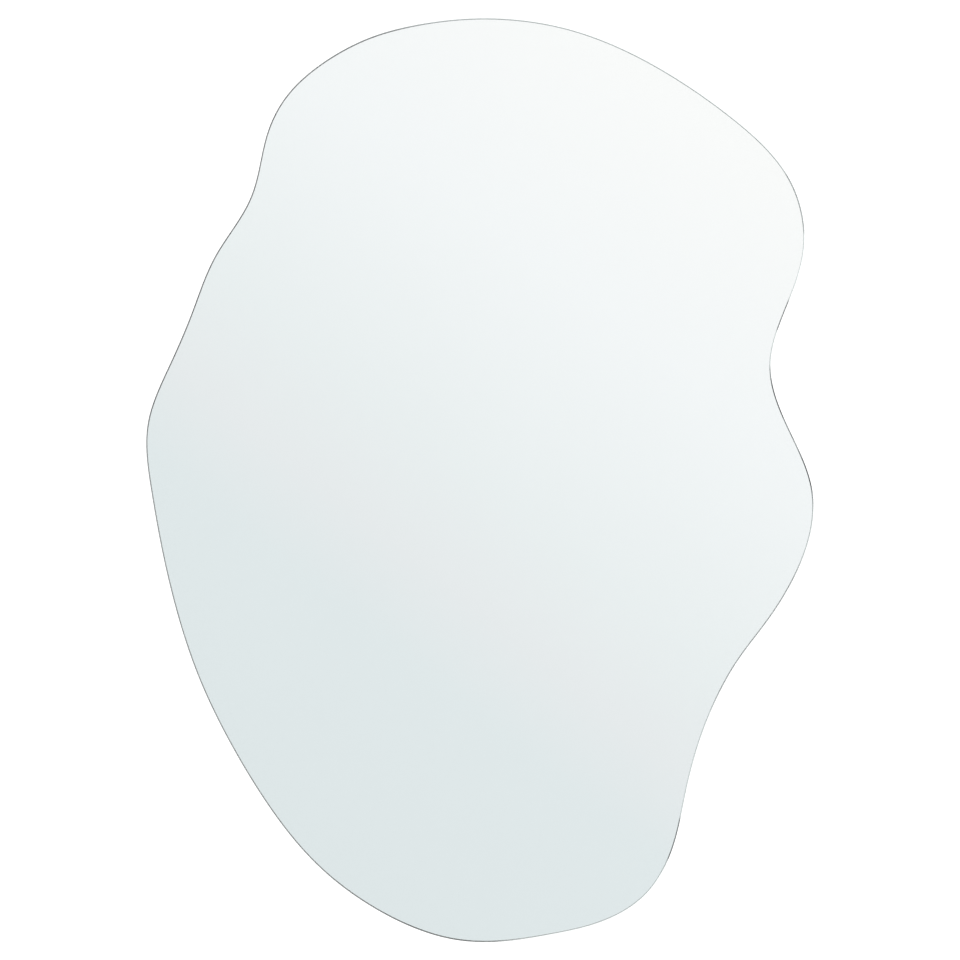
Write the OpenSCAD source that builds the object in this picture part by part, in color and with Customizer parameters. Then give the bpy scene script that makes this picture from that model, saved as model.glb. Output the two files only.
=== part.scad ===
// Irregular wall mirror: a free-form sheet of silvered glass with a polished arris, bonded to
// a contour board that hangs on wall screws by flush keyhole plates, upright or on its side.
//
// Millimetres. Z is up, the glass looks along -Y and the wall is on the +Y side. The origin is
// on the back face of the board, midway between the entry holes of the two upright hangers.

/* [Glass] */
// Overall width of the glass
mirror_w = 650; // [600:10:800]
// Overall height of the glass
mirror_h = 900; // [800:10:1200]
// Thickness of the glass
glass_t = 5; // [4:1:8]
// Width of the polished arris round the front of the glass
front_arris = 0.8; // [0.5:0.1:2]
// Width of the finer arris round the back of the glass
back_arris = 0.5; // [0.3:0.1:1.5]

/* [Silvering and film] */
// Thickness that stands for the silver on the back of the glass
silver_t = 0.1; // [0.05:0.05:0.2]
// Thickness that stands for the paint over the silver
paint_t = 0.1; // [0.05:0.05:0.2]
// Thickness of the safety film that holds the glass together if it breaks
film_t = 0.2; // [0.1:0.05:0.4]
// Distance from the edge of the paint to the edge of the film
film_margin = 2.5; // [1:0.5:8]

/* [Bond] */
// Thickness of the foam tape and of the adhesive beads between film and board
bond_t = 1; // [0.8:0.1:2]
// Width of a strip of foam tape
tape_w = 25; // [12:1:40]
// Length of a strip of foam tape
tape_l = 420; // [300:10:480]
// Distance from one strip of tape to the next
tape_pitch = 100; // [70:5:110]
// Width of a pressed bead of adhesive
bead_w = 14; // [8:1:24]
// Length of a bead of adhesive
bead_l = 480; // [300:10:520]

/* [Board] */
// Thickness of the backing board
board_t = 12; // [12:1:18]
// Distance from the edge of the glass to the edge of the board
board_inset = 40; // [25:5:50]
// Width of the bevel round the back of the board
board_bevel = 3; // [1:0.5:5]

/* [Hangers] */
// Distance between the two hangers of a pair
hanger_spacing = 280; // [200:10:320]
// Distance from the top of the glass down to the entry holes of the upright pair
hang_drop = 215; // [190:5:280]
// Distance from the right-hand side of the glass to the entry holes of the sideways pair
hang_side = 150; // [140:5:200]
// Length of a keyhole plate
plate_l = 60; // [50:1:70]
// Width of a keyhole plate
plate_w = 20; // [16:1:26]
// Thickness of a keyhole plate
plate_t = 2; // [1.5:0.5:3]
// Diameter of the hole that the head of a wall screw enters
entry_d = 10; // [9:0.5:12]
// Width of the slot that the shank of a wall screw slides along
slot_w = 5; // [4.5:0.5:6]
// Distance that a wall screw slides, from the entry hole to the end of the slot
slot_travel = 10; // [8:1:14]
// Depth of the pocket for the head of a wall screw, from the back face of the board
pocket_depth = 8; // [6:0.5:9]
// Width of that pocket
pocket_w = 14; // [12:1:16]

/* [Plate screws] */
// Distance between the two screws of a plate
screw_pitch = 42; // [36:1:44]
// Shank diameter of a countersunk screw
screw_d = 3; // [2.5:0.5:3.5]
// Head diameter of a countersunk screw
screw_head_d = 6; // [5:0.5:7]
// Overall length of a countersunk screw
screw_l = 10; // [8:1:10]

/* [Bumpers] */
// Diameter of a rubber bumper
bumper_d = 12; // [8:1:20]
// Height of a rubber bumper, which holds the board off the wall
bumper_h = 3; // [2:0.5:6]
// How much of that height is its domed top
bumper_dome = 1.6; // [0.5:0.1:2]
// Distance from the edge of the board to the middle of a bumper
bumper_margin = 25; // [15:5:40]

/* [Hidden] */
// Places that the edge of the glass passes through, as [across, up] from the middle of a
// mirror 650 wide and 900 high. They run anticlockwise as seen from the front.
edge_points = [
    // crown and left shoulder
    [0, 450], [-78, 440], [-133, 419], [-182, 382], [-209, 332],
    // upper left hollow and the slope below it
    [-224, 274], [-257, 220], [-280, 165], [-303, 111],
    // left point and the long left flank
    [-324, 53], [-320, -12], [-306, -86], [-282, -171], [-245, -253], [-191, -338],
    // foot, from the lower left round to the lower right
    [-123, -404], [-28, -447], [61, -444], [119, -430], [163, -402], [189, -354],
    // shallow hollow of the lower right side
    [202, -297], [220, -237], [249, -179], [285, -130],
    // right belly
    [317, -69], [323, -6], [299, 54],
    // right waist
    [283, 112], [299, 170],
    // right shoulder and the slope up to the crown
    [316, 230], [300, 296], [247, 352], [172, 403], [88, 439]
];
// Straight steps that the edge takes from one of those places to the next
edge_steps = 12;
// Places of that list that the four bumpers sit beside
bumper_places = [3, 15, 19, 31];
bumper_names = ["upper_left", "lower_left", "lower_right", "upper_right"];

// Slack round a plate in its recess, and round a screw in its hole
seat_gap = 0.2;
// Depth of a pilot hole beyond the tip of its screw
pilot_spare = 0.5;
// How far a cut runs past the face that it opens
overcut = 1;

tape_count = 4;
bead_count = 3;
$fn = 48;

function next(i, list) = (i + 1) % len(list);
function previous(i, list) = (i + len(list) - 1) % len(list);
function places(list) = [0:len(list) - 1];
function sum(list) = [for (item = list) 1] * list;
function across(points) = [for (p = points) p.x];
function upwards(points) = [for (p = points) p.y];

// Control points of the closed cubic curve that passes through the given points. Each round
// corrects the last guess, and halves what is left of its error.
correction_rounds = 24;
function control_points(points, guess, rounds) = rounds <= 0 ? guess :
    control_points(points, [for (i = places(points))
        (6 * points[i] - guess[previous(i, points)] - guess[next(i, points)]) / 4
    ], rounds - 1);

// Point at a share t of the stretch from b to c, with the neighbours a and d
function cubic(a, b, c, d, t) =
    (pow(1 - t, 3) * a + (3 * pow(t, 3) - 6 * pow(t, 2) + 4) * b
     + (3 * t + 3 * pow(t, 2) - 3 * pow(t, 3) + 1) * c + pow(t, 3) * d) / 6;

// Closed curve with an even bend through the points, as a list of short straight steps
function smooth_loop(points, steps) =
    let (c = control_points(points, points, correction_rounds))
    [for (i = places(c)) let (j = next(i, c)) for (s = [0:steps - 1])
        cubic(c[previous(i, c)], c[i], c[j], c[next(j, c)], s / steps)];

// The loop stretched to an exact width and height round its middle
function fitted(loop, w, h) =
    let (low = [min(across(loop)), min(upwards(loop))],
         high = [max(across(loop)), max(upwards(loop))])
    [for (p = loop) [((p.x - low.x) / (high.x - low.x) - 0.5) * w,
                     ((p.y - low.y) / (high.y - low.y) - 0.5) * h]];

// Balance point of an even sheet with this outline
function twice_area(a, b) = a.x * b.y - a.y * b.x;
function balance_point(loop) =
    let (wedges = [for (i = places(loop)) twice_area(loop[i], loop[next(i, loop)])],
         moments = [for (i = places(loop)) wedges[i] * (loop[i] + loop[next(i, loop)])])
    sum(moments) / (3 * sum(wedges));

// The loop moved inwards by a distance, square to itself
function inset(loop, distance) = [for (i = places(loop))
    let (along = loop[next(i, loop)] - loop[previous(i, loop)], unit = along / norm(along))
    loop[i] + distance * [-unit.y, unit.x]];

// Outline of the glass round its own middle, then in the part's frame
centred_edge = fitted(smooth_loop(edge_points, edge_steps), mirror_w, mirror_h);
balance = balance_point(centred_edge);
origin_place = [balance.x, mirror_h / 2 - hang_drop];
glass_edge = [for (p = centred_edge) p - origin_place];
paint_edge = inset(glass_edge, back_arris);
film_edge = inset(paint_edge, film_margin);
board_edge = inset(glass_edge, board_inset);
bumper_edge = inset(board_edge, bumper_margin);

// Y of the joints between the layers, from the wall side to the front
board_back = 0;
board_front = board_back - board_t;
film_back = board_front - bond_t;
paint_back = film_back - film_t;
silver_back = paint_back - paint_t;
glass_back = silver_back - silver_t;
glass_front = glass_back - glass_t;

// Sizes of the plate screws
screw_cone = (screw_head_d - screw_d) / 2;
screw_tip = screw_d;
pilot_depth = screw_l + pilot_spare;

// Radius of the sphere that the top of a bumper is a cap of
bumper_curve = (pow(bumper_d / 2, 2) + pow(bumper_dome, 2)) / (2 * bumper_dome);

// The glass hangs level, so each pair of hangers stands evenly to both sides of its balance
// point. Entry holes are [across, up, turn], where a turn of 90 makes +X the upper side.
balance_up = balance.y - origin_place.y;
side_place = mirror_w / 2 - origin_place.x - hang_side;
upright_left = [-hanger_spacing / 2, 0, 0];
upright_right = [hanger_spacing / 2, 0, 0];
sideways_upper = [side_place, balance_up + hanger_spacing / 2, 90];
sideways_lower = [side_place, balance_up - hanger_spacing / 2, 90];
hangers = [upright_left, upright_right, sideways_upper, sideways_lower];

// Extrudes an upright flat shape from its back face towards the front
module slab(back, thickness) {
    translate([0, back, 0])
        rotate([90, 0, 0])
            linear_extrude(height = thickness)
                children();
}

// Solid through a stack of loops with as many points each, listed from back to front
module loft(loops, depths) {
    count = len(loops[0]);
    last = len(loops) - 1;
    polyhedron(
        points = [for (k = places(loops)) for (p = loops[k]) [p.x, depths[k], p.y]],
        faces = [
            [for (i = places(loops[0])) i],
            for (k = [0:last - 1]) for (i = places(loops[0]))
                let (j = next(i, loops[0]))
                [k * count + i, (k + 1) * count + i, (k + 1) * count + j, k * count + j],
            [for (i = places(loops[0])) last * count + count - 1 - i]
        ]
    );
}

// Flat bar with round ends, longest upwards
module rounded_bar(length, width) {
    square([width, length - width], center = true);
    for (end = [-1, 1])
        translate([0, end * (length - width) / 2])
            circle(d = width);
}

// Moves what is drawn round the entry hole of a hanger to that hanger
module at_hanger(hanger) {
    translate([hanger.x, 0, hanger.y])
        rotate([0, hanger.z, 0])
            children();
}

// Moves what is drawn round the middle of a plate to the middle, which is half way along the slot
module at_plate_middle() {
    translate([0, slot_travel / 2])
        children();
}

// Repeats what points into the board at both screws of a plate
module at_plate_screws() {
    for (end = [-1, 1])
        translate([0, board_back, slot_travel / 2 + end * screw_pitch / 2])
            rotate([90, 0, 0])
                children();
}

// Outline of the keyhole, with its entry hole at the origin
module keyhole() {
    circle(d = entry_d);
    translate([-slot_w / 2, 0])
        square([slot_w, slot_travel]);
    translate([0, slot_travel])
        circle(d = slot_w);
}

// Countersunk screw that points along Z from the face of its head, or the room that it needs
module countersunk(gap, length) {
    cone_foot = screw_d + 2 * gap;
    cone_face = screw_head_d + 2 * gap;
    cylinder(h = screw_cone, d1 = cone_face, d2 = cone_foot);
    cylinder(h = length, d = cone_foot);
}

// Sheet of glass with a flat polished edge and an arris on both sides
module mirror_glass() {
    color([0.86, 0.90, 0.90])
        loft(
            [inset(glass_edge, back_arris), glass_edge, glass_edge, inset(glass_edge, front_arris)],
            [glass_back, glass_back - back_arris, glass_front + front_arris, glass_front]
        );
}

module silver_coating() {
    color([0.92, 0.93, 0.93])
        slab(silver_back, silver_t)
            polygon(paint_edge);
}

module backing_paint() {
    color([0.46, 0.50, 0.50])
        slab(paint_back, paint_t)
            polygon(paint_edge);
}

module safety_film() {
    color([0.80, 0.82, 0.84])
        slab(film_back, film_t)
            polygon(film_edge);
}

// Upright strip of foam tape, counted from the left
module foam_tape(number) {
    color([0.93, 0.93, 0.91])
        translate([(number - (tape_count + 1) / 2) * tape_pitch, 0, balance_up])
            slab(board_front, bond_t)
                square([tape_w, tape_l], center = true);
}

// Upright bead of adhesive pressed flat between two strips of tape, counted from the left
module adhesive_bead(number) {
    color([0.84, 0.85, 0.84])
        translate([(number - (bead_count + 1) / 2) * tape_pitch, 0, balance_up])
            slab(board_front, bond_t)
                rounded_bar(bead_l, bead_w);
}

// Contour board with a bevelled back edge and a routed seat for each hanger
module backing_board() {
    color([0.62, 0.49, 0.35])
        difference() {
            union() {
                slab(board_back - board_bevel, board_t - board_bevel)
                    polygon(board_edge);
                loft([inset(board_edge, board_bevel), board_edge],
                     [board_back, board_back - board_bevel]);
            }
            for (hanger = hangers)
                at_hanger(hanger) {
                    slab(board_back + overcut, plate_t + overcut)
                        at_plate_middle()
                            rounded_bar(plate_l + 2 * seat_gap, plate_w + 2 * seat_gap);
                    slab(board_back - plate_t + overcut, pocket_depth - plate_t + overcut)
                        at_plate_middle()
                            rounded_bar(slot_travel + pocket_w, pocket_w);
                    at_plate_screws()
                        cylinder(h = pilot_depth, d = screw_d + 2 * seat_gap);
                }
        }
}

// Flush keyhole plate, which the head of a wall screw enters and hooks behind
module hanger_plate(hanger) {
    color([0.74, 0.75, 0.76])
        at_hanger(hanger)
            difference() {
                slab(board_back, plate_t)
                    at_plate_middle()
                        rounded_bar(plate_l, plate_w);
                slab(board_back + overcut, plate_t + 2 * overcut)
                    keyhole();
                at_plate_screws()
                    countersunk(seat_gap / 2, plate_t + overcut);
            }
}

// The two screws of a plate, with their heads flush with it
module plate_screws(hanger) {
    color([0.82, 0.80, 0.72])
        at_hanger(hanger)
            at_plate_screws() {
                countersunk(0, screw_l - screw_tip);
                translate([0, 0, screw_l - screw_tip])
                    cylinder(h = screw_tip, d1 = screw_d, d2 = 0);
            }
}

// Round rubber bumper with a domed top, stuck to the back of the board
module bumper(place) {
    middle = bumper_edge[bumper_places[place] * edge_steps];
    color([0.20, 0.20, 0.21])
        translate([middle.x, board_back, middle.y])
            rotate([-90, 0, 0])
                rotate_extrude()
                    intersection() {
                        square([bumper_d / 2, bumper_h]);
                        translate([0, bumper_h - bumper_curve])
                            circle(r = bumper_curve);
                    }
}

mirror_glass();
silver_coating();
backing_paint();
safety_film();
for (number = [1:tape_count])
    foam_tape(number);
for (number = [1:bead_count])
    adhesive_bead(number);
backing_board();
hanger_plate(upright_left);  // upright_hanger_left
hanger_plate(upright_right);  // upright_hanger_right
hanger_plate(sideways_upper);  // sideways_hanger_upper
hanger_plate(sideways_lower);  // sideways_hanger_lower
plate_screws(upright_left);  // upright_screws_left
plate_screws(upright_right);  // upright_screws_right
plate_screws(sideways_upper);  // sideways_screws_upper
plate_screws(sideways_lower);  // sideways_screws_lower
for (place = [0:len(bumper_names) - 1])
    bumper(place);
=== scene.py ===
import bmesh
import bpy
import math
from mathutils import Matrix, Vector, noise


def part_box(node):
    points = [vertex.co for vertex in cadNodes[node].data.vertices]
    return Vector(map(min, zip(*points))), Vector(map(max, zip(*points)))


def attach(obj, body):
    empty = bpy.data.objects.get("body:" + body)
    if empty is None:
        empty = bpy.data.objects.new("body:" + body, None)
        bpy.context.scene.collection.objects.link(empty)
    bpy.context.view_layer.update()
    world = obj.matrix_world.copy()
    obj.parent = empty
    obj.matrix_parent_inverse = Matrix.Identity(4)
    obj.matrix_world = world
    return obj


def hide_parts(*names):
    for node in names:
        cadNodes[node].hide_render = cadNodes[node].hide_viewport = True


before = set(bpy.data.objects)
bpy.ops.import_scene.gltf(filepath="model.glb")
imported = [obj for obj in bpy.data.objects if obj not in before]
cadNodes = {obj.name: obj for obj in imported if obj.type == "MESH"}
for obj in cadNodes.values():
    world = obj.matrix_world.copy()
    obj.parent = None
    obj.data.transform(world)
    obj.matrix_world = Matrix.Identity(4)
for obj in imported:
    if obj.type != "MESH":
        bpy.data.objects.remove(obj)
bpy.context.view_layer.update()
scene = bpy.context.scene
mm = 0.001                     # the frame is in metres

glassLow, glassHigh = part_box("mirror_glass")
glassMiddle = (glassLow + glassHigh) / 2
glassLevels = sorted({round(v.co.y, 6) for v in cadNodes["mirror_glass"].data.vertices})
arrisBack = glassLevels[1]     # where the front arris ends and the flat edge starts
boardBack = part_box("backing_board")[1].y
print("frame loaded,", len(cadNodes), "nodes")


# Camera: square to the glass and level with its middle

eye = {
    "distance": 5.0,         # from the lens to the outline of the glass
    "frameHeight": 0.9349,   # how much of that plane the picture takes in
    "right": 0.1 * mm,       # the eye stands this far right of the middle of the glass
    "above": 0.1 * mm,       # and this far above it
    "sensor": 36.0,          # width of the film in millimetres
    "clip": (0.05, 60),      # the nearest and the farthest that it sees
}


def placeCamera():
    lens = bpy.data.cameras.new("camera")
    lens.sensor_width = eye["sensor"]
    lens.lens = eye["sensor"] * eye["distance"] / eye["frameHeight"]
    lens.clip_start, lens.clip_end = eye["clip"]
    camera = bpy.data.objects.new("camera", lens)
    camera.location = (glassMiddle.x + eye["right"],
                       arrisBack - eye["distance"],
                       glassMiddle.z + eye["above"])
    camera.rotation_euler = (math.radians(90), 0, 0)
    scene.collection.objects.link(camera)
    scene.camera = camera


placeCamera()
scene.view_settings.view_transform = "Standard"
print("camera placed")


# Node helpers

def fill(tree, socket, value):
    # a value is another node's output, a number, a place or a colour without its alpha
    if isinstance(value, bpy.types.NodeSocket):
        tree.links.new(value, socket)
    elif socket.type == "RGBA":
        socket.default_value = (*value, 1.0)
    else:
        socket.default_value = value


def addNode(tree, kind, sockets=None, **settings):
    made = tree.nodes.new(kind)
    for name, value in settings.items():
        setattr(made, name, value)
    for name, value in (sockets or {}).items():
        fill(tree, made.inputs[name], value)
    return made


def maths(tree, operation, first, second=0.0, third=0.0):
    return addNode(tree, "ShaderNodeMath", {0: first, 1: second, 2: third},
                   operation=operation).outputs[0]


def vectorMaths(tree, operation, first, second=(0, 0, 0), scale=1.0, result="Vector"):
    return addNode(tree, "ShaderNodeVectorMath", {0: first, 1: second, 3: scale},
                   operation=operation).outputs[result]


def fade(tree, value, start, end, low=0.0, high=1.0, curve="SMOOTHSTEP"):
    # low up to start, high from end on, and a soft change between them
    return addNode(tree, "ShaderNodeMapRange", {
        "Value": value, "From Min": start, "From Max": end, "To Min": low, "To Max": high,
    }, interpolation_type=curve).outputs["Result"]


def mixColour(tree, share, first, second):
    return addNode(tree, "ShaderNodeMix", {0: share, 6: first, 7: second},
                   data_type="RGBA").outputs[2]


def grey(level):
    return (level, level, level)


def cosines(degrees):
    return [math.cos(math.radians(a)) for a in degrees]


def objectPlace(tree):
    return addNode(tree, "ShaderNodeTexCoord").outputs["Object"]


def component(tree, vector, axis):
    return addNode(tree, "ShaderNodeSeparateXYZ", {"Vector": vector}).outputs[axis]


def pattern(tree, stretch=(1, 1, 1), turn=(0, 0, 0)):
    # Object coordinates in metres, stretched and turned
    return addNode(tree, "ShaderNodeMapping", {
        "Vector": objectPlace(tree), "Scale": stretch,
        "Rotation": [math.radians(a) for a in turn],
    }).outputs["Vector"]


def cloud(tree, size, detail=3.0, roughness=0.5, stretch=(1, 1, 1), turn=(0, 0, 0)):
    # soft noise from 0 to 1 with blotches about as large as size
    return addNode(tree, "ShaderNodeTexNoise", {
        "Vector": pattern(tree, stretch, turn), "Scale": 1 / size, "Detail": detail,
        "Roughness": roughness,
    }).outputs["Fac"]


def cells(tree, size):
    return addNode(tree, "ShaderNodeTexVoronoi", {
        "Vector": pattern(tree), "Scale": 1 / size}).outputs


def bump(tree, height, depth, strength=1.0):
    return addNode(tree, "ShaderNodeBump", {
        "Height": height, "Distance": depth, "Strength": strength}).outputs["Normal"]


def drive(tree, shader, **sockets):
    for name, value in sockets.items():
        fill(tree, shader.inputs[name.replace("_", " ")], value)


def newMaterial(name, **sockets):
    material = bpy.data.materials.new(name)
    material.use_nodes = True
    tree = material.node_tree
    tree.nodes.clear()
    shader = addNode(tree, "ShaderNodeBsdfPrincipled")
    addNode(tree, "ShaderNodeOutputMaterial", {"Surface": shader.outputs["BSDF"]})
    drive(tree, shader, **sockets)
    return material, tree, shader


# Mesh helpers

weldWithin = 0.001 * mm        # points closer than this are one
flatWithin = 0.1               # faces that turn by fewer degrees are one flat


def mergedCopy(nodeName):
    # the node's shape with its loose triangles joined and its flat faces made whole
    bm = bmesh.new()
    bm.from_mesh(cadNodes[nodeName].data)
    bmesh.ops.remove_doubles(bm, verts=bm.verts, dist=weldWithin)
    bmesh.ops.dissolve_limit(bm, angle_limit=math.radians(flatWithin), verts=bm.verts,
                             edges=bm.edges, use_dissolve_boundaries=False)
    return bm


def softenEdges(bm, width, steeperThan=30, segments=3):
    sharp = [e for e in bm.edges
             if e.is_manifold and e.calc_face_angle() > math.radians(steeperThan)]
    bmesh.ops.bevel(bm, geom=sharp, offset=width, offset_type="OFFSET", segments=segments,
                    profile=0.5, affect="EDGES", material=-1, clamp_overlap=True,
                    loop_slide=True)


def spunProfile(bm, profile, steps):
    # turns a list of (radius, height) round the Y axis
    start = [bm.verts.new((radius, height, 0)) for radius, height in profile]
    edges = [bm.edges.new(pair) for pair in zip(start, start[1:])]
    bmesh.ops.spin(bm, geom=start + edges, cent=(0, 0, 0), axis=(0, 1, 0), dvec=(0, 0, 0),
                   angle=math.tau, steps=steps, use_merge=True, use_duplicate=False)
    bmesh.ops.remove_doubles(bm, verts=bm.verts, dist=weldWithin)
    bmesh.ops.recalc_face_normals(bm, faces=bm.faces)


def nodesNamed(words):
    return sorted(name for name in cadNodes if words in name)


def addPiece(bm, name, material, nodeNames, creaseAbove=40, evenNormals=False):
    mesh = bpy.data.meshes.new(name)
    bm.to_mesh(mesh)
    bm.free()
    mesh.shade_smooth()
    mesh.set_sharp_from_angle(angle=math.radians(creaseAbove))
    mesh.materials.append(material)
    piece = bpy.data.objects.new(name, mesh)
    scene.collection.objects.link(piece)
    if evenNormals:
        even = piece.modifiers.new("even_normals", "WEIGHTED_NORMAL")
        even.weight = 100      # the largest faces decide
        even.keep_sharp = True
    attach(piece, "root")
    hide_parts(*nodeNames)


def dressNode(nodeName, material):
    for place in cadNodes[nodeName].material_slots:
        place.material = material


# Glass: clear float glass with its polished edge

glass = {
    "index": 1.52,
    "stain": (0.18, 0.66, 0.47),        # the glass swallows red the most and green the least
    "stainPerMetre": 6.0,
    # the ground arris gets a low tone as painted shade, for the dark line round the edge
    "arrisPaintedShading": 0.13,                  # how much light the ground arris lets through
    "sideTone": (0.35, 0.46, 0.41),     # and the flat edge behind it
    "sideBlend": 0.1 * mm,              # the depth over which the one becomes the other
    "toneDepths": (0.005 * mm, 0.035 * mm),    # behind the front, where that tone sets in
    "roughDepths": (0.02 * mm, 0.1 * mm),      # and where the roughness does
    "edgeRoughness": 0.05,              # the polished edge and both arrises
    "grindMarks": 0.05,                 # how much rougher the marks of the wheel are
    "markSize": 0.5 * mm,
    "markStretch": (0.04, 1, 0.04),     # they run along the edge
    "crispness": 0.12 * mm,             # width of the rounding where the arris meets a face
    # painted light and shade on the arris, standing in for the studio it reflects: stretches made
    # lighter or darker by which way they face, how far they spread to both sides, in degrees, and
    # how much light they let through
    "paintedLightStretches": [(-158, 30, 0.24), (-25, 28, 0.20), (-65, 17, 1.00), (-12, 11, 0.70),
                  (50, 27, 0.92), (86, 14, 1.00), (17, 9, 0.00), (150, 20, 0.02),
                  (-104, 12, 0.05)],
    "stretchEdge": (1.4, 0.6),          # each ends between these shares of its spread
    # and shorter spots of painted light and shade: where they lie across and up, how far they
    # reach, and their light
    "paintedLightSpots": [(0.125, -0.655, 0.065, 1.00), (0.187, -0.585, 0.022, 0.02),
              (0.306, 0.037, 0.030, 0.30), (0.310, -0.017, 0.022, 1.00),
              (0.291, -0.075, 0.016, 0.02), (0.297, -0.186, 0.013, 0.08)],
    "spotEdge": (1.15, 0.85),           # each ends between these shares of its reach
}


# painted light and shade for the arris: lighter or darker by which way its edge faces, and at
# given spots
def arrisPaintedShading(tree):
    shape = addNode(tree, "ShaderNodeNewGeometry").outputs
    # seen from inside the glass, a normal comes turned about
    outward = maths(tree, "MULTIPLY_ADD", shape["Backfacing"], -2.0, 1.0)
    facing = vectorMaths(tree, "MULTIPLY", shape["Normal"], (1, 0, 1))
    facing = vectorMaths(tree, "SCALE", facing, scale=outward)
    facing = vectorMaths(tree, "NORMALIZE", facing)
    tone = grey(glass["arrisPaintedShading"])
    outer, inner = glass["stretchEdge"]
    for towards, spread, light in glass["paintedLightStretches"]:
        way = (math.cos(math.radians(towards)), 0, math.sin(math.radians(towards)))
        likeness = vectorMaths(tree, "DOT_PRODUCT", facing, way, result="Value")
        share = fade(tree, likeness, *cosines((outer * spread, inner * spread)))
        tone = mixColour(tree, share, tone, grey(light))
    place = objectPlace(tree)
    outer, inner = glass["spotEdge"]
    for right, up, reach, light in glass["paintedLightSpots"]:
        away = vectorMaths(tree, "DISTANCE", place, (right, arrisBack, up), result="Value")
        share = fade(tree, away, outer * reach, inner * reach)
        tone = mixColour(tree, share, tone, grey(light))
    return tone


def glassMaterial():
    material, tree, shader = newMaterial(
        "clear_glass", IOR=glass["index"], Transmission_Weight=1.0)
    depth = maths(tree, "SUBTRACT", component(tree, objectPlace(tree), "Y"), glassLow.y)
    arrisDepth = arrisBack - glassLow.y
    side = fade(tree, depth, arrisDepth, arrisDepth + glass["sideBlend"])
    tone = mixColour(tree, side, arrisPaintedShading(tree), glass["sideTone"])
    marks = cloud(tree, glass["markSize"], detail=4, stretch=glass["markStretch"])
    rough = maths(tree, "MULTIPLY_ADD", marks, glass["grindMarks"], glass["edgeRoughness"])
    # the front stays clear and smooth, and all that lies behind it counts as edge
    drive(tree, shader,
          Base_Color=mixColour(tree, fade(tree, depth, *glass["toneDepths"]), grey(1), tone),
          Roughness=maths(tree, "MULTIPLY", fade(tree, depth, *glass["roughDepths"]), rough))
    stain = addNode(tree, "ShaderNodeVolumeAbsorption", {
        "Color": glass["stain"], "Density": glass["stainPerMetre"]})
    tree.links.new(stain.outputs["Volume"], tree.get_output_node("ALL").inputs["Volume"])
    return material


def makeGlass():
    bm = mergedCopy("mirror_glass")
    softenEdges(bm, glass["crispness"])
    addPiece(bm, "polished_glass", glassMaterial(), ["mirror_glass"],
             evenNormals=True)


makeGlass()
print("glass made")


# Silver: its mirror face lies a hair inside the glass, so that no two faces coincide

silver = {
    "colour": (0.955, 0.965, 0.955),
    "veil": (0.945, 0.955, 0.945),   # the faint cloudiness of a hand-wiped back
    "veilSize": 180 * mm,
    "bite": 0.02 * mm,               # how far it reaches into the glass
}


def silverMaterial():
    material, tree, shader = newMaterial("bright_silver", Metallic=1.0, Roughness=0.0)
    veil = cloud(tree, silver["veilSize"], detail=2)
    drive(tree, shader, Base_Color=mixColour(tree, veil, silver["colour"], silver["veil"]))
    return material


def makeSilver():
    bm = mergedCopy("silver_coating")
    low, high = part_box("silver_coating")
    front = [v for v in bm.verts if v.co.y < (low.y + high.y) / 2]
    bmesh.ops.translate(bm, verts=front, vec=(0, -silver["bite"], 0))
    addPiece(bm, "silver_layer", silverMaterial(), ["silver_coating"],
             evenNormals=True)


makeSilver()
print("silver made")


# Paint over the silver, rolled on, with a fine orange peel

paint = {
    "colour": (0.200, 0.232, 0.232),
    "shade": (0.165, 0.196, 0.200),
    "roughness": (0.45, 0.62),
    "blotch": 90 * mm,
    "peel": 1.6 * mm,
    "peelDepth": 0.03 * mm,
}


def paintMaterial():
    material, tree, shader = newMaterial("backing_paint")
    blotch = cloud(tree, paint["blotch"], detail=5, roughness=0.6)
    peel = cloud(tree, paint["peel"], detail=2)
    drive(tree, shader,
          Base_Color=mixColour(tree, blotch, paint["shade"], paint["colour"]),
          Roughness=fade(tree, peel, 0.3, 0.7, *paint["roughness"]),
          Normal=bump(tree, peel, paint["peelDepth"]))
    return material


dressNode("backing_paint", paintMaterial())


# Safety film: milky sheet with a woven scrim of threads in it

film = {
    "colour": (0.520, 0.540, 0.550),
    "clouding": (0.455, 0.480, 0.495),
    "cloudSize": 110 * mm,
    "roughness": (0.26, 0.40),
    "sheen": 0.4,
    "thread": (0.610, 0.625, 0.635),
    "threadStrength": 0.7,      # how clearly a thread shows through the film
    "threadShare": 0.14,        # how much of the pitch a thread takes
    "pitch": 4.5 * mm,          # from one thread to the next
    "lean": 2.0,                # the roll was never quite square to the glass
    "relief": 0.05 * mm,        # how far the threads stand out
    "wrinkle": 12 * mm,
    "wrinkleHeight": 0.5,       # as a share of that relief
}


def threads(tree, turn):
    # 1 on a thread, 0 between threads
    across = component(tree, pattern(tree, turn=(0, turn, 0)), "X")
    wave = maths(tree, "PINGPONG", maths(tree, "MULTIPLY", across, 2 / film["pitch"]), 1.0)
    return fade(tree, wave, 1 - 2 * film["threadShare"], 1.0)


def filmMaterial():
    material, tree, shader = newMaterial("safety_film", Specular_IOR_Level=film["sheen"])
    woven = maths(tree, "MAXIMUM", threads(tree, film["lean"]), threads(tree, 90 + film["lean"]))
    clouds = cloud(tree, film["cloudSize"], detail=4, roughness=0.55)
    wrinkles = cloud(tree, film["wrinkle"], stretch=(1, 1, 0.25))
    milky = mixColour(tree, clouds, film["clouding"], film["colour"])
    shown = maths(tree, "MULTIPLY", woven, film["threadStrength"])
    height = maths(tree, "MULTIPLY_ADD", wrinkles, film["wrinkleHeight"], woven)
    drive(tree, shader,
          Base_Color=mixColour(tree, shown, milky, film["thread"]),
          Roughness=fade(tree, clouds, 0.25, 0.75, *film["roughness"]),
          Normal=bump(tree, height, film["relief"]))
    return material


dressNode("safety_film", filmMaterial())
print("paint and film dressed")


# Foam tape: white closed-cell strips, cut by hand, so their sides wander a little

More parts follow.
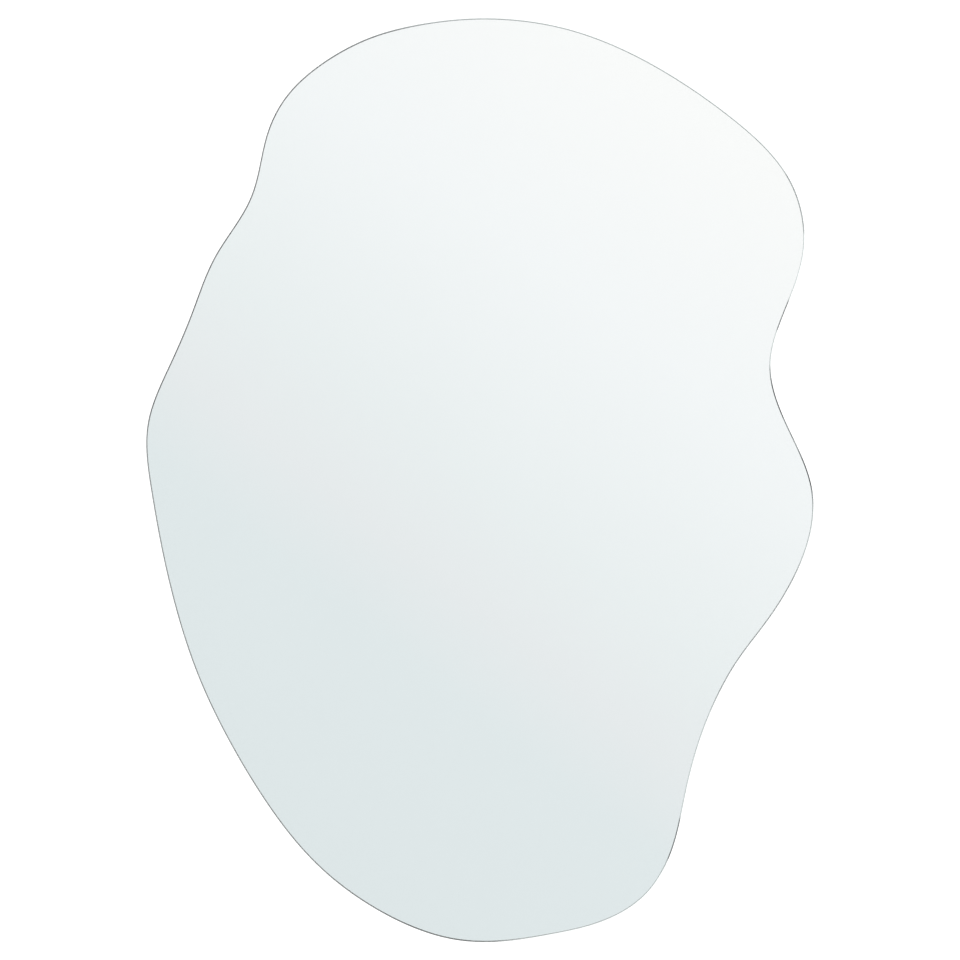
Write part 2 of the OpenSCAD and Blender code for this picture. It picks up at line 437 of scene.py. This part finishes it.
tape = {
    "colour": (0.845, 0.845, 0.815),
    # darker foam colour: painted shade in the pores, and also the colour of the grime
    "cell": (0.700, 0.700, 0.670),
    "cellSize": 0.35 * mm,
    "cellDepth": 0.1 * mm,
    "grimeSize": 50 * mm,
    "grimeMost": 0.12,
    "roughness": 0.9,
    "cuts": 40,
    "wander": 0.4 * mm,
    "bends": 30,                # to the metre
    "rim": 0.25 * mm,
}


def tapeMaterial():
    material, tree, shader = newMaterial("foam_tape", Roughness=tape["roughness"])
    cell = cells(tree, tape["cellSize"])["Distance"]
    grime = cloud(tree, tape["grimeSize"], detail=4)
    # darker towards the middle of each cell, where the bump sinks: painted shade in the pores
    foam = mixColour(tree, fade(tree, cell, 0.2, 0.7), tape["cell"], tape["colour"])
    drive(tree, shader,
          Base_Color=mixColour(tree, fade(tree, grime, 0.4, 0.9, high=tape["grimeMost"]),
                               foam, tape["cell"]),
          Normal=bump(tree, cell, tape["cellDepth"]))
    return material


def stripWithCuts(low, high, cuts):
    # a box whose long upright edges are cut into even steps
    bm = bmesh.new()
    place = Matrix.Translation((low + high) / 2) @ Matrix.Diagonal((*(high - low), 1))
    bmesh.ops.create_cube(bm, size=1, matrix=place)
    upright = [e for e in bm.edges
               if abs(e.verts[0].co.z - e.verts[1].co.z) > (high.z - low.z) / 2]
    bmesh.ops.subdivide_edges(bm, edges=upright, cuts=cuts, use_grid_fill=True)
    return bm


def makeTape(nodeName, material):
    low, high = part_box(nodeName)
    middle = (low + high) / 2
    bm = stripWithCuts(low, high, tape["cuts"])
    for v in bm.verts:
        side = 1 if v.co.x > middle.x else -1
        own = middle.x * 50 + side * 9         # so that no two sides wander alike
        drift = noise.noise(Vector((own, 0, v.co.z * tape["bends"])))
        v.co.x -= side * tape["wander"] * (0.5 + 0.5 * drift)
    softenEdges(bm, tape["rim"])
    addPiece(bm, nodeName.replace("foam_tape", "foam_strip"), material, [nodeName])


whiteFoam = tapeMaterial()
for nodeName in nodesNamed("foam_tape"):
    makeTape(nodeName, whiteFoam)
print("foam tape made")


# Adhesive: beads from a gun that were pressed flat, with wavy sides and round ends

bead = {
    "colour": (0.690, 0.700, 0.690),
    "thin": (0.580, 0.600, 0.600),
    "thinSize": 20 * mm,
    "skin": 2.5 * mm,
    "skinDepth": 0.1 * mm,
    "roughness": (0.28, 0.46),
    "cuts": 110,
    "waveLength": 21 * mm,      # from one pulse of the gun to the next
    "wave": 0.11,               # how far the sides swell and shrink, as a share of the width
    "evenShare": 0.6,           # how much of that comes with the pulse, the rest is uneven
    "bends": 22,                # to the metre, in that rest
    "endWidth": 0.2,            # the round ends stop at this share of the width
    "rim": 0.42 * mm,
}


def beadMaterial():
    material, tree, shader = newMaterial("adhesive")
    thin = cloud(tree, bead["thinSize"])
    skin = cloud(tree, bead["skin"])
    drive(tree, shader,
          Base_Color=mixColour(tree, thin, bead["thin"], bead["colour"]),
          Roughness=fade(tree, skin, 0.3, 0.7, *bead["roughness"]),
          Normal=bump(tree, skin, bead["skinDepth"]))
    return material


def makeBead(nodeName, material):
    low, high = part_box(nodeName)
    middle = (low + high) / 2
    halfWidth = (high.x - low.x) / 2
    halfLength = (high.z - low.z) / 2
    bm = stripWithCuts(low, high, bead["cuts"])
    for v in bm.verts:
        fromMiddle = abs(v.co.z - middle.z)
        intoEnd = max(0, fromMiddle - (halfLength - halfWidth)) / halfWidth
        roundEnd = math.sqrt(max(bead["endWidth"] ** 2, 1 - intoEnd ** 2))
        # the place of a bead goes into both, so that no two swell alike
        pulse = math.sin(v.co.z / bead["waveLength"] * math.tau + middle.x * 60)
        uneven = noise.noise(Vector((middle.x * 40, v.co.x * 200, v.co.z * bead["bends"])))
        both = bead["evenShare"] * pulse + (1 - bead["evenShare"]) * uneven
        swell = 1 - bead["wave"] * (1 + both) / 2
        v.co.x = middle.x + (v.co.x - middle.x) * roundEnd * swell
    softenEdges(bm, bead["rim"], steeperThan=60)
    addPiece(bm, nodeName.replace("adhesive_bead", "pressed_bead"), material,
             [nodeName])


curedAdhesive = beadMaterial()
for nodeName in nodesNamed("adhesive_bead"):
    makeBead(nodeName, curedAdhesive)
print("adhesive made")


# Board: raw fibreboard, sanded on its faces and darker where a cutter has been

board = {
    "sanded": (0.450, 0.315, 0.190),
    "sandedDark": (0.408, 0.280, 0.163),
    "cut": (0.290, 0.182, 0.098),
    "fleck": (0.150, 0.088, 0.046),
    "paleFibre": (0.560, 0.420, 0.280),
    "roughness": (0.72, 0.92),  # sanded and cut
    "sheen": 0.25,
    "blotch": 30 * mm,
    "fibre": 0.45 * mm,
    "fibreDepth": 0.05 * mm,
    "chip": 1.8 * mm,           # the coarser flecks of bark
    "belt": 3.0 * mm,           # from one mark of the sanding belt to the next
    "chatter": 1.4 * mm,        # from one mark of the cutter to the next
    "cutDepths": (0.15 * mm, 0.45 * mm),      # below the back, where the cut faces set in
    # what shows on the sanded faces, one over the other: the pattern, where in it the colour
    # sets in and is at its fullest, how much that is, and the colour
    "layers": [("belt", 0.45, 0.70, 0.16, "paleFibre"), ("fibre", 0.56, 0.70, 0.55, "paleFibre"),
               ("fibre", 0.44, 0.33, 0.60, "fleck"), ("chip", 0.62, 0.74, 0.40, "fleck")],
    "rounding": 0.3 * mm,
}


def sandedColour(tree, fibres):
    blotch = cloud(tree, board["blotch"], detail=8, roughness=0.7)
    patterns = {
        "belt": cloud(tree, board["belt"], stretch=(1, 1, 0.01), turn=(0, 1, 0)),
        "fibre": fibres,
        "chip": cloud(tree, board["chip"], detail=2, stretch=(0.35, 1, 1), turn=(0, 62, 0)),
    }
    colour = mixColour(tree, fade(tree, blotch, 0.32, 0.68), board["sandedDark"],
                       board["sanded"])
    for kind, start, end, most, colourName in board["layers"]:
        share = fade(tree, patterns[kind], start, end, high=most)
        colour = mixColour(tree, share, colour, board[colourName])
    return colour


def cutColour(tree, fibres):
    chatter = cloud(tree, board["chatter"], stretch=(1, 0.2, 1))
    colour = mixColour(tree, chatter, board["fleck"], board["cut"])
    return mixColour(tree, fade(tree, fibres, 0.5, 0.7, high=0.5), colour, board["sanded"])


def boardMaterial():
    material, tree, shader = newMaterial("fibreboard", Specular_IOR_Level=board["sheen"])
    # fibres lie every way in the face, so two layers of streaks cross
    streaksA = cloud(tree, board["fibre"], stretch=(0.16, 1, 1), turn=(0, 24, 0))
    streaksB = cloud(tree, board["fibre"], stretch=(1, 1, 0.16), turn=(0, -31, 0))
    fibres = maths(tree, "MULTIPLY", maths(tree, "ADD", streaksA, streaksB), 0.5)
    depth = maths(tree, "SUBTRACT", boardBack, component(tree, objectPlace(tree), "Y"))
    machined = fade(tree, depth, *board["cutDepths"])
    drive(tree, shader,
          Base_Color=mixColour(tree, machined, sandedColour(tree, fibres),
                               cutColour(tree, fibres)),
          Roughness=fade(tree, machined, 0, 1, *board["roughness"], "LINEAR"),
          Normal=bump(tree, fibres, board["fibreDepth"]))
    return material


def makeBoard():
    bm = mergedCopy("backing_board")
    softenEdges(bm, board["rounding"], segments=2)
    addPiece(bm, "contour_board", boardMaterial(), ["backing_board"],
             evenNormals=True)


makeBoard()
print("board made")


# Keyhole plates: bright zinc on pressed steel

plate = {
    "zinc": (0.520, 0.530, 0.540),
    "blue": (0.465, 0.487, 0.518),
    "straw": (0.540, 0.515, 0.460),
    "strawMost": 0.35,
    "bloom": 9 * mm,            # size of the clouds of blue and straw
    "spangle": 2.2 * mm,
    "spangleRoughness": (0.20, 0.27),
    "brushing": 0.25 * mm,      # from one brush mark to the next
    "brushRoughness": 0.16,     # how much rougher the marks are
    "scratch": 0.02 * mm,
    "roll": 0.25 * mm,          # the rounding that the punch leaves
}


def zincMaterial():
    material, tree, shader = newMaterial("bright_zinc", Metallic=1.0)
    bloom = cloud(tree, plate["bloom"], roughness=0.6)
    spangle = addNode(tree, "ShaderNodeSeparateColor", {
        "Color": cells(tree, plate["spangle"])["Color"]}).outputs["Red"]
    brushed = cloud(tree, plate["brushing"], stretch=(1, 1, 0.05))
    tone = mixColour(tree, fade(tree, bloom, 0.35, 0.65), plate["blue"], plate["zinc"])
    tone = mixColour(tree, fade(tree, bloom, 0.55, 0.8, high=plate["strawMost"]), tone,
                     plate["straw"])
    drive(tree, shader,
          Base_Color=tone,
          Roughness=maths(tree, "MULTIPLY_ADD", brushed, plate["brushRoughness"],
                          fade(tree, spangle, 0, 1, *plate["spangleRoughness"])),
          Normal=bump(tree, brushed, plate["scratch"], 0.4))
    return material


def makePlate(nodeName, material):
    bm = mergedCopy(nodeName)
    softenEdges(bm, plate["roll"], steeperThan=50)
    addPiece(bm, nodeName.replace("hanger", "keyhole_plate"), material,
             [nodeName], evenNormals=True)


brightZinc = zincMaterial()
for nodeName in nodesNamed("_hanger_"):
    makePlate(nodeName, brightZinc)
print("keyhole plates made")


# Plate screws: countersunk, cross recess, rolled thread, yellow zinc

screw = {
    "headRadius": 3.0 * mm,
    "neckRadius": 1.5 * mm,
    "coreRadius": 1.08 * mm,
    "length": 10.0 * mm,
    "tip": 3.0 * mm,
    "tipBulge": (0.55, 0.4),    # share of the core's radius, at this share of the tip from its end
    "lip": 0.15 * mm,           # the upright rim of the head
    "recessReach": 1.62 * mm,   # from the middle to the end of an arm of the cross
    "recessArm": 0.40 * mm,     # half of the width of an arm
    "recessDepth": 1.3 * mm,
    "recessTaper": 0.45,
    "pitch": 1.25 * mm,
    "threadStart": 2.3 * mm,
    "threadEnd": 8.6 * mm,
    "threadFoot": 0.6,          # width of the thread's foot, as a share of the pitch
    "threadBite": 0.96,         # its foot starts inside the core, at this share of the radius
    "threadTaper": 0.75,        # how much of its radius it has lost at the point
    "threadSteps": 16,          # to a turn
    "sides": 24,
    "turns": (0.7, 1.9),        # radians from pair to pair, and from screw to screw in a pair
    "colour": (0.660, 0.510, 0.250),
    "rainbow": (0.600, 0.560, 0.390),
    "sheenSize": 2.5 * mm,
    "grain": 0.3 * mm,
    "grainDepth": 0.02 * mm,
    "roughness": (0.22, 0.40),
}


def screwMaterial():
    material, tree, shader = newMaterial("yellow_zinc", Metallic=1.0)
    sheen = cloud(tree, screw["sheenSize"], detail=2)
    grain = cloud(tree, screw["grain"])
    drive(tree, shader,
          Base_Color=mixColour(tree, fade(tree, sheen, 0.35, 0.7), screw["colour"],
                               screw["rainbow"]),
          Roughness=fade(tree, grain, 0.2, 0.8, *screw["roughness"]),
          Normal=bump(tree, grain, screw["grainDepth"], 0.5))
    return material


def crossRadius(angle):
    # how far the outline of the cross lies from its middle in a direction
    reach, arm = screw["recessReach"], screw["recessArm"]
    c, s = max(abs(math.cos(angle)), 1e-6), max(abs(math.sin(angle)), 1e-6)
    return max(min(reach / c, arm / s), min(reach / s, arm / c))


def turnedBody(bm):
    # head, neck, core and point in one turned shape, open at the top of the head
    head, neck, core = screw["headRadius"], screw["neckRadius"], screw["coreRadius"]
    length, tip, lip = screw["length"], screw["tip"], screw["lip"]
    thick, fromEnd = screw["tipBulge"]
    coneFoot = neck - head
    spunProfile(bm, [
        (head - lip / 2, 0), (head, -lip / 2), (head, -lip), (neck, coneFoot - lip / 2),
        (core, coneFoot - 3 * lip), (core, tip - length),
        (thick * core, fromEnd * tip - length), (0, -length),
    ], screw["sides"])


def cutRecess(bm):
    # the open top is filled, drawn in to the outline of a cross and pushed down
    rim = [e for e in bm.edges if e.is_boundary]
    cap = bmesh.ops.edgeloop_fill(bm, edges=rim)["faces"][0]
    bmesh.ops.inset_individual(bm, faces=[cap], thickness=screw["headRadius"] / 3,
                               use_even_offset=True)
    for v in cap.verts:
        angle = math.atan2(v.co.z, v.co.x)
        v.co.x = math.cos(angle) * crossRadius(angle)
        v.co.z = math.sin(angle) * crossRadius(angle)
    floor = bmesh.ops.extrude_discrete_faces(bm, faces=[cap])["faces"][0]
    taper = screw["recessTaper"]
    bmesh.ops.scale(bm, verts=floor.verts, vec=(taper, 1, taper))
    bmesh.ops.translate(bm, verts=floor.verts, vec=(0, -screw["recessDepth"], 0))


def rollThread(bm):
    # a small wedge swept down the shank in a helix, and drawn in round the point
    steps = screw["threadSteps"]
    turns = (screw["threadEnd"] - screw["threadStart"]) / screw["pitch"]
    foot = screw["threadBite"] * screw["coreRadius"]
    rise = screw["threadFoot"] * screw["pitch"] / 2
    top = -screw["threadStart"]
    wedge = [bm.verts.new(place) for place in (
        (foot, top + rise, 0), (screw["neckRadius"], top, 0), (foot, top - rise, 0))]
    outline = [bm.edges.new((wedge[i - 1], wedge[i])) for i in range(3)]
    known = set(bm.verts) - set(wedge)
    bmesh.ops.spin(bm, geom=wedge + outline, cent=(0, 0, 0), axis=(0, 1, 0),
                   dvec=(0, -screw["pitch"] / steps, 0), angle=math.tau * turns,
                   steps=round(turns * steps), use_merge=False, use_duplicate=False)
    bmesh.ops.holes_fill(bm, edges=[e for e in bm.edges if e.is_boundary], sides=3)
    pointFrom = screw["length"] - screw["tip"]
    for v in set(bm.verts) - known:
        intoPoint = max(0, (-v.co.y - pointFrom) / screw["tip"])
        drawnIn = 1 - screw["threadTaper"] * intoPoint
        v.co.x *= drawnIn
        v.co.z *= drawnIn


def oneScrew(place, turn):
    bm = bmesh.new()
    turnedBody(bm)
    cutRecess(bm)
    rollThread(bm)
    bmesh.ops.recalc_face_normals(bm, faces=bm.faces)
    bmesh.ops.rotate(bm, verts=bm.verts, matrix=Matrix.Rotation(turn, 3, "Y"))
    bmesh.ops.translate(bm, verts=bm.verts, vec=place)
    return bm


def joined(parts):
    whole = bmesh.new()
    for part in parts:
        held = bpy.data.meshes.new("held")
        part.to_mesh(held)
        part.free()
        whole.from_mesh(held)
        bpy.data.meshes.remove(held)
    return whole


def makeScrews(nodeName, material, number):
    low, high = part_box(nodeName)
    inward = Vector((screw["headRadius"], 0, screw["headRadius"]))
    pairTurn, screwTurn = screw["turns"]
    screws = [oneScrew((end.x, boardBack, end.z), pairTurn * number + screwTurn * i)
              for i, end in enumerate((low + inward, high - inward))]
    addPiece(joined(screws), nodeName.replace("screws", "countersunk_screws"), material,
             [nodeName], creaseAbove=35)


yellowZinc = screwMaterial()
for number, nodeName in enumerate(nodesNamed("_screws_")):
    makeScrews(nodeName, yellowZinc, number)
print("plate screws made")


# Bumpers: moulded rubber domes with a gate mark, on a thin adhesive disc

bumper = {
    "rubber": (0.034, 0.034, 0.036),
    "dust": (0.110, 0.108, 0.104),
    "dustMost": 0.5,
    "dustSize": 3 * mm,
    "roughness": (0.52, 0.78),
    "sheen": 0.35,
    "skin": 0.2 * mm,
    "skinDepth": 0.02 * mm,
    "radius": 6.0 * mm,
    "height": 3.0 * mm,
    "dome": 1.6 * mm,           # how much of the height is the domed top
    "domeSteps": 9,
    "rim": 0.35 * mm,           # rounding where the dome meets the side
    "disc": 0.15 * mm,          # thickness of the adhesive disc
    "discStep": 0.2 * mm,       # how far it stays back from the side
    "gate": 0.7 * mm,           # radius of the gate mark in the top
    "gateFoot": 0.56 * mm,      # and at its bottom
    "gateDepth": 0.12 * mm,
    "sides": 40,
}


def rubberMaterial():
    material, tree, shader = newMaterial("black_rubber", Specular_IOR_Level=bumper["sheen"])
    dust = cloud(tree, bumper["dustSize"], detail=5, roughness=0.7)
    skin = cloud(tree, bumper["skin"], detail=2)
    drive(tree, shader,
          Base_Color=mixColour(tree, fade(tree, dust, 0.5, 0.8, high=bumper["dustMost"]),
                               bumper["rubber"], bumper["dust"]),
          Roughness=fade(tree, dust, 0.3, 0.7, *bumper["roughness"]),
          Normal=bump(tree, skin, bumper["skinDepth"]))
    return material


def domeProfile():
    # half of the section, from the middle of the top down to the board
    radius, height, dome = bumper["radius"], bumper["height"], bumper["dome"]
    gate, disc, rim = bumper["gate"], bumper["disc"], bumper["rim"]
    curve = (radius ** 2 + dome ** 2) / (2 * dome)
    steps = [gate + (radius - rim - gate) * i / bumper["domeSteps"]
             for i in range(bumper["domeSteps"] + 1)]
    top = [(r, height - curve + math.sqrt(curve ** 2 - r ** 2)) for r in steps]
    side = height - dome
    foot = radius - bumper["discStep"]
    gateFloor = height - bumper["gateDepth"]
    return [(0, gateFloor), (bumper["gateFoot"], gateFloor), *top, (radius - 0.3 * rim, side),
            (radius, side - rim), (radius, disc), (foot, disc), (foot, 0), (0, 0)]


def makeBumper(nodeName, material):
    low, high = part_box(nodeName)
    middle = (low + high) / 2
    bm = bmesh.new()
    spunProfile(bm, domeProfile(), bumper["sides"])
    bmesh.ops.translate(bm, verts=bm.verts, vec=(middle.x, boardBack, middle.z))
    addPiece(bm, nodeName.replace("bumper", "rubber_bumper"), material,
             [nodeName])


blackRubber = rubberMaterial()
for nodeName in nodesNamed("bumper_"):
    makeBumper(nodeName, blackRubber)
print("bumpers made")


# Studio: what the mirror looks at, as directions from the glass

studio = {
    "slope": 51.5,              # the pale wall in front brightens towards this angle
    "reach": 0.0815,            # sine of the angle over which it brightens
    "wallTones": {              # how far it has risen, and its tone there
        0.00: (0.802, 0.844, 0.872),
        0.28: (0.822, 0.862, 0.890),
        0.38: (0.872, 0.880, 0.908),
        0.50: (0.900, 0.920, 0.943),
        0.75: (0.990, 0.987, 1.013),
        1.00: (1.050, 1.026, 1.040),
    },
    "wallEdge": (8, 14),        # degrees off the middle over which the wall ends
    "surroundLeft": (0.950, 0.975, 0.985),    # the studio round that wall
    "surroundRight": (0.580, 0.600, 0.610),
    "surroundSides": (-0.3, 0.3),             # how far across the one becomes the other
    "surroundHeights": (-0.45, 0.45),         # from low down to high up
    "surroundRise": (0.96, 1.10),             # it has these shares of its tone
    "surroundEdge": (33, 44),   # and these are the degrees over which it ends
    "frontLow": (0.720, 0.755, 0.765),        # the rest of the room in front, low and high
    "frontHigh": (0.930, 0.960, 0.965),
    "frontHeights": (-0.5, 0.6),
    "rearLow": (0.200, 0.205, 0.215),         # and behind the mirror
    "rearHigh": (0.740, 0.740, 0.735),
    "rearHeights": (-0.5, 0.7),
    "rearEdge": (0.25, -0.25),  # how far forward the front becomes the rear
    "backdrop": 1.20,           # what the camera sees past the mirror
}


def wallColour(tree, rising):
    ramp = addNode(tree, "ShaderNodeValToRGB", {"Fac": rising})
    stops = ramp.color_ramp.elements
    while len(stops) < len(studio["wallTones"]):
        stops.new(0.5)
    for stop, (place, tone) in zip(stops, studio["wallTones"].items()):
        stop.position = place
        stop.color = (*tone, 1.0)
    return ramp.outputs["Color"]


def worldOfStudio():
    world = bpy.data.worlds.new("studio")
    scene.world = world
    world.use_nodes = True
    tree = world.node_tree
    tree.nodes.clear()
    towards = addNode(tree, "ShaderNodeTexCoord").outputs["Generated"]

    def along(*direction):
        return vectorMaths(tree, "DOT_PRODUCT", towards, direction, result="Value")

    slope = math.radians(studio["slope"])
    rising = fade(tree, along(math.cos(slope), 0, math.sin(slope)), -studio["reach"],
                  studio["reach"], curve="LINEAR")
    right, forward, up = along(1, 0, 0), along(0, -1, 0), along(0, 0, 1)
    front = mixColour(tree, fade(tree, up, *studio["frontHeights"]), studio["frontLow"],
                      studio["frontHigh"])
    rear = mixColour(tree, fade(tree, up, *studio["rearHeights"]), studio["rearLow"],
                     studio["rearHigh"])
    room = mixColour(tree, fade(tree, forward, *studio["rearEdge"]), front, rear)
    around = mixColour(tree, fade(tree, right, *studio["surroundSides"]),
                       studio["surroundLeft"], studio["surroundRight"])
    rise = fade(tree, up, *studio["surroundHeights"], *studio["surroundRise"], "LINEAR")
    around = vectorMaths(tree, "SCALE", around, scale=rise)
    around = mixColour(tree, fade(tree, forward, *cosines(studio["surroundEdge"])), around, room)
    seen = mixColour(tree, fade(tree, forward, *cosines(studio["wallEdge"])),
                     wallColour(tree, rising), around)
    lit = addNode(tree, "ShaderNodeBackground", {"Color": seen})
    plain = addNode(tree, "ShaderNodeBackground", {"Color": grey(studio["backdrop"])})
    path = addNode(tree, "ShaderNodeLightPath")
    choice = addNode(tree, "ShaderNodeMixShader", {
        0: path.outputs["Is Camera Ray"], 1: lit.outputs[0], 2: plain.outputs[0]})
    addNode(tree, "ShaderNodeOutputWorld", {"Surface": choice.outputs[0]})


worldOfStudio()


# Lamps: soft squares that all face the middle of the glass

lamps = [
    {"name": "front_left", "place": (-2.0, -2.3, 1.5), "size": 1.6, "watts": 14},
    {"name": "front_right", "place": (2.2, -2.0, 0.9), "size": 1.6, "watts": 8},
    {"name": "rear_left", "place": (-1.9, 1.3, 1.5), "size": 2.6, "watts": 60},
    {"name": "rear_right", "place": (2.1, 2.0, 0.3), "size": 1.6, "watts": 14},
    {"name": "overhead", "place": (0.0, 0.3, 2.4), "size": 2.4, "watts": 14},
]


def hangLamp(lamp):
    light = bpy.data.lights.new(lamp["name"], "AREA")
    light.shape = "SQUARE"
    light.size = lamp["size"]
    light.energy = lamp["watts"]
    holder = bpy.data.objects.new(lamp["name"], light)
    holder.location = lamp["place"]
    aim = glassMiddle - holder.location
    holder.rotation_euler = aim.to_track_quat("-Z", "Y").to_euler()
    holder.visible_camera = False
    holder.visible_glossy = lamp["place"][1] > 0      # only the back shows lamps as glints
    holder.visible_transmission = False
    scene.collection.objects.link(holder)


for lamp in lamps:
    hangLamp(lamp)


# Floor: a pale disc that fades out towards its rim

ground = {
    "below": 0.50,              # under the foot of the mirror
    "radius": 4.4,
    "sides": 96,
    "fadeFrom": 0.9,
    "pale": (0.610, 0.610, 0.606),
    "paler": (0.640, 0.640, 0.636),
    "blotch": 0.6,
    "roughness": 0.6,
    "sheen": 0.2,
}


def floorMaterial(centre):
    material, tree, shader = newMaterial("studio_floor", Roughness=ground["roughness"],
                                         Specular_IOR_Level=ground["sheen"])
    blotch = cloud(tree, ground["blotch"], detail=4)
    drive(tree, shader, Base_Color=mixColour(tree, blotch, ground["pale"], ground["paler"]))
    away = vectorMaths(tree, "DISTANCE", objectPlace(tree), centre, result="Value")
    gone = fade(tree, away, ground["fadeFrom"], ground["radius"])
    clear = addNode(tree, "ShaderNodeBsdfTransparent")
    both = addNode(tree, "ShaderNodeMixShader", {
        0: gone, 1: shader.outputs["BSDF"], 2: clear.outputs[0]})
    tree.links.new(both.outputs[0], tree.get_output_node("ALL").inputs["Surface"])
    return material


def layFloor():
    centre = Vector((glassMiddle.x, 0, glassLow.z - ground["below"]))
    bm = bmesh.new()
    bmesh.ops.create_circle(bm, cap_ends=True, segments=ground["sides"],
                            radius=ground["radius"], matrix=Matrix.Translation(centre))
    mesh = bpy.data.meshes.new("floor")
    bm.to_mesh(mesh)
    bm.free()
    mesh.materials.append(floorMaterial(centre))
    floor = bpy.data.objects.new("floor", mesh)
    floor.visible_glossy = False          # the mirror shows the room alone
    floor.visible_transmission = False
    scene.collection.objects.link(floor)


layFloor()
print("studio set up")
